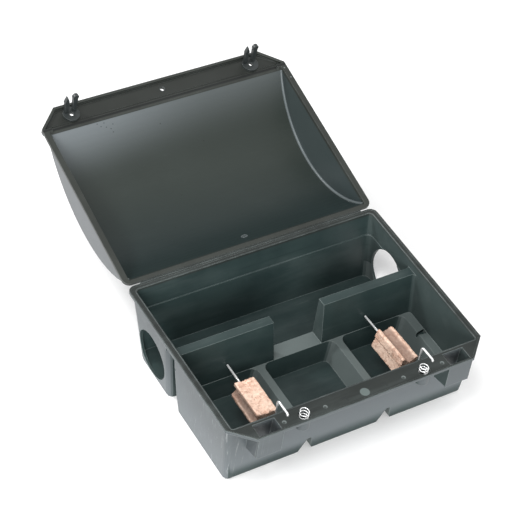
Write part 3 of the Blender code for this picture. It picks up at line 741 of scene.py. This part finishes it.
def waxMaterial():
    shade = Shade("baitWax")
    place = shade.node("ShaderNodeTexCoord", output=3)
    cells = {"Vector": place, "Scale": 420.0, "Randomness": 1.0}
    flakes = shade.node("ShaderNodeTexVoronoi", {}, cells)
    tone = shade.node("ShaderNodeTexVoronoi", {}, cells, output=1)
    tone = shade.node("ShaderNodeSeparateColor", {}, {"Color": tone})
    crumbs = stretched(shade, place, (900, 900, 900), 5.0, 0.7)
    broad = stretched(shade, place, (60, 60, 60), 3.0)
    # dust and painted shade in the grooves, and a painted shadow on the left block's side, as given on the
    # mesh
    dustAndShadeMix = shade.node("ShaderNodeAttribute", {"attribute_name": "hollow"}, output=2)
    dustAndShadeMix = dustAndShadeMix * (0.7 + 0.3 * broad)
    color = mixColor(shade, tone, (0.50, 0.28, 0.195), (0.90, 0.62, 0.48))
    color = mixColor(shade, 0.5 * ramp(shade, broad, 0.35, 0.7), color, (0.93, 0.74, 0.60))
    # painted highlight on the high points of the crumbs
    color = mixColor(shade, 0.75 * ramp(shade, crumbs, 0.56, 0.7), color, (1.0, 0.90, 0.80))
    color = mixColor(shade, 0.6 * (1 - ramp(shade, crumbs, 0.30, 0.42)), color, (0.40, 0.21, 0.14))
    color = mixColor(shade, 0.9 * dustAndShadeMix, color, (0.17, 0.105, 0.08))
    shade.set(
        Base_Color=color,
        Roughness=0.52 + 0.25 * crumbs,
        Normal=shade.node(
            "ShaderNodeBump", {}, {"Height": 0.8 * crumbs + 0.3 * flakes, "Distance": 0.0010, "Strength": 0.7}
        ),
    )
    return shade.material


wax = waxMaterial()
blockShape = {
    "halfWide": 12.25, "halfHigh": 10.5, "groove": 5, "shallow": 1.3, "length": 48, "middle": 2.5,
    "roll": {"left": 3, "right": -80}, "seed": {"left": 3.1, "right": 17.7},
    # sideShadow is a painted shadow on the left block's side flats
    "sideShadow": {"left": 0.75, "right": 0.0}, "endDust": 0.62, "bore": 1.5,
    "rough": 0.45, "chip": 3.2, "slices": 56,
}


def blockSection(values):
    wide, high = values["halfWide"], values["halfHigh"]
    right = [
        (wide - 1.5, -high), (wide - 0.4, -high + 0.4), (wide, 1.5 - high), (wide, -7.2), (wide - 1.2, -6),
        (wide - values["groove"], -1.6), (wide - values["groove"], 1.6), (wide - 1.2, 6), (wide, 7.2),
        (wide, high - 1.5), (wide - 0.4, high - 0.4), (wide - 1.5, high), (2.4, high),
        (0.8, high - values["shallow"]),
    ]
    corners = [Vector(p) for p in right + [(-x, -y) for x, y in right]]
    points = []
    for here, after in zip(corners, corners[1:] + corners[:1]):
        count = max(1, round((after - here).length / 0.75))
        points += [here.lerp(after, k / count) for k in range(count)]
    return points


def makeBlock(name, values):
    section = blockSection(values)
    slices, length, bore = values["slices"], values["length"], values["bore"]
    seed = values["seed"][name]
    work = bmesh.new()
    rings = []
    hollow = work.verts.layers.float.new("hollow")

    def dustAndShadeAmount(point):
        # 1 deep in a side groove, darkened by dust and painted shade; on the side flats the side shadow
        # amount, a painted shadow on the left block; 0 on the other flat faces
        inGroove = max(0.0, min(1.0, (values["halfWide"] + 0.2 - abs(point.x)) / 2.2))
        onSide = values["sideShadow"][name] if abs(point.x) > values["halfWide"] - 0.6 else 0.0
        return inGroove if abs(point.y) < 6.9 else onSide

    def keep(vert, amount):
        vert[hollow] = amount
        return vert

    def moved(point, along):
        # a lumpy skin, and ends worn back unevenly
        here = Vector((point.x, point.y, along))
        coarse = noise.noise(here * 0.22 + Vector((seed, 0, 0)))
        fine = noise.noise(here * 0.9 + Vector((0, seed, 0)))
        push = values["rough"] * (0.9 * coarse + 0.8 * fine) - 0.3
        outward = point.normalized() if point.length > 0 else Vector((0, 0))
        end = length / 2 - abs(along)
        wear = -0.9 * math.exp(-end / 0.7)
        ragged = values["chip"] * math.exp(-end / 2.2) * noise.noise(
            Vector((point.x, point.y, 40.0 * (along > 0) + seed)) * 0.45)
        shift = -abs(ragged) * (1 if along > 0 else -1)
        flat = point + outward * (push + wear * 0.5)
        return Vector((flat.x * mm, flat.y * mm, (along + shift) * mm))

    for index in range(slices + 1):
        along = -length / 2 + length * index / slices
        rings.append([keep(work.verts.new(moved(p, along)), dustAndShadeAmount(p)) for p in section])
    size = len(section)
    for one, two in zip(rings, rings[1:]):
        for k in range(size):
            work.faces.new((one[k], one[(k + 1) % size], two[(k + 1) % size], two[k]))
    # ends: rings that shrink to the bore, with a crumbly surface
    for outer, along, flip in ((rings[0], -length / 2, True), (rings[-1], length / 2, False)):
        for share in (0.86, 0.7, 0.52, 0.34, 0.0):
            inner = []
            for k, point in enumerate(section):
                target = point * share if share else point.normalized() * bore
                if share and target.length < bore + 0.4:
                    target = point.normalized() * (bore + 0.4)
                lump = 0.8 * noise.noise(Vector((target.x, target.y, seed + along)) * 0.5)
                depth = along - math.copysign(abs(lump) + 0.15, along)
                vert = work.verts.new((target.x * mm, target.y * mm, depth * mm))
                inner.append(keep(vert, values["endDust"]))
            for k in range(size):
                face = (outer[k], outer[(k + 1) % size], inner[(k + 1) % size], inner[k])
                work.faces.new(face[::-1] if flip else face)
            outer = inner
        if flip:
            firstBore = outer
    for k in range(size):
        after = (k + 1) % size
        work.faces.new((firstBore[k], outer[k], outer[after], firstBore[after]))
    turn = holderMatrix(name, rodShape) @ Matrix.Translation(
        (0, (values["middle"] - rodShape["hookY"]) * mm, rodShape["height"] * mm))
    roll = Matrix.Rotation(math.radians(values["roll"][name]), 4, "Y")
    turn = turn @ roll @ Matrix.Rotation(math.pi / 2, 4, "X")
    bmesh.ops.transform(work, matrix=turn, verts=work.verts)
    piece = pieceFrom(work, "waxBlock" + name.title(), wax, "block_" + name, 70)
    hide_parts("bait_block_" + name)
    return piece


for name in ("left", "right"):
    makeBlock(name, blockShape)
print("wax blocks ready")

bpy.ops.mesh.primitive_plane_add(size=12, location=(0, 0, -0.0002))
floor = bpy.context.object
floor.name = "paleFloor"
floorShade = Shade("paleFloor")
floorShade.set(
    Base_Color=(0.88, 0.88, 0.88), Roughness=0.75, Emission_Color=(1, 1, 1), Emission_Strength=0.12)
floor.data.materials.append(floorShade.material)


def softLight(name, place, size, power, target=(0, 0.08, 0.05)):
    data = bpy.data.lights.new(name, "AREA")
    data.shape = "SQUARE"
    data.size = size
    data.energy = power
    light = bpy.data.objects.new(name, data)
    light.location = place
    light.rotation_euler = (Vector(target) - Vector(place)).to_track_quat("-Z", "Y").to_euler()
    scene.collection.objects.link(light)
    return light


softLight("keyLight", (-1.3, -2.2, 0.95), 1.2, 62)
softLight("topLight", (-0.75, -0.15, 2.2), 0.9, 24)
softLight("backLight", (-1.2, 1.6, 1.6), 0.35, 26)
scene.view_settings.view_transform = "Standard"
world = scene.world or bpy.data.worlds.new("studio")
scene.world = world
world.use_nodes = True
daylight = world.node_tree.nodes["Background"]
daylight.inputs["Color"].default_value = (1, 1, 1, 1)
daylight.inputs["Strength"].default_value = 0.74
print("floor and light ready")
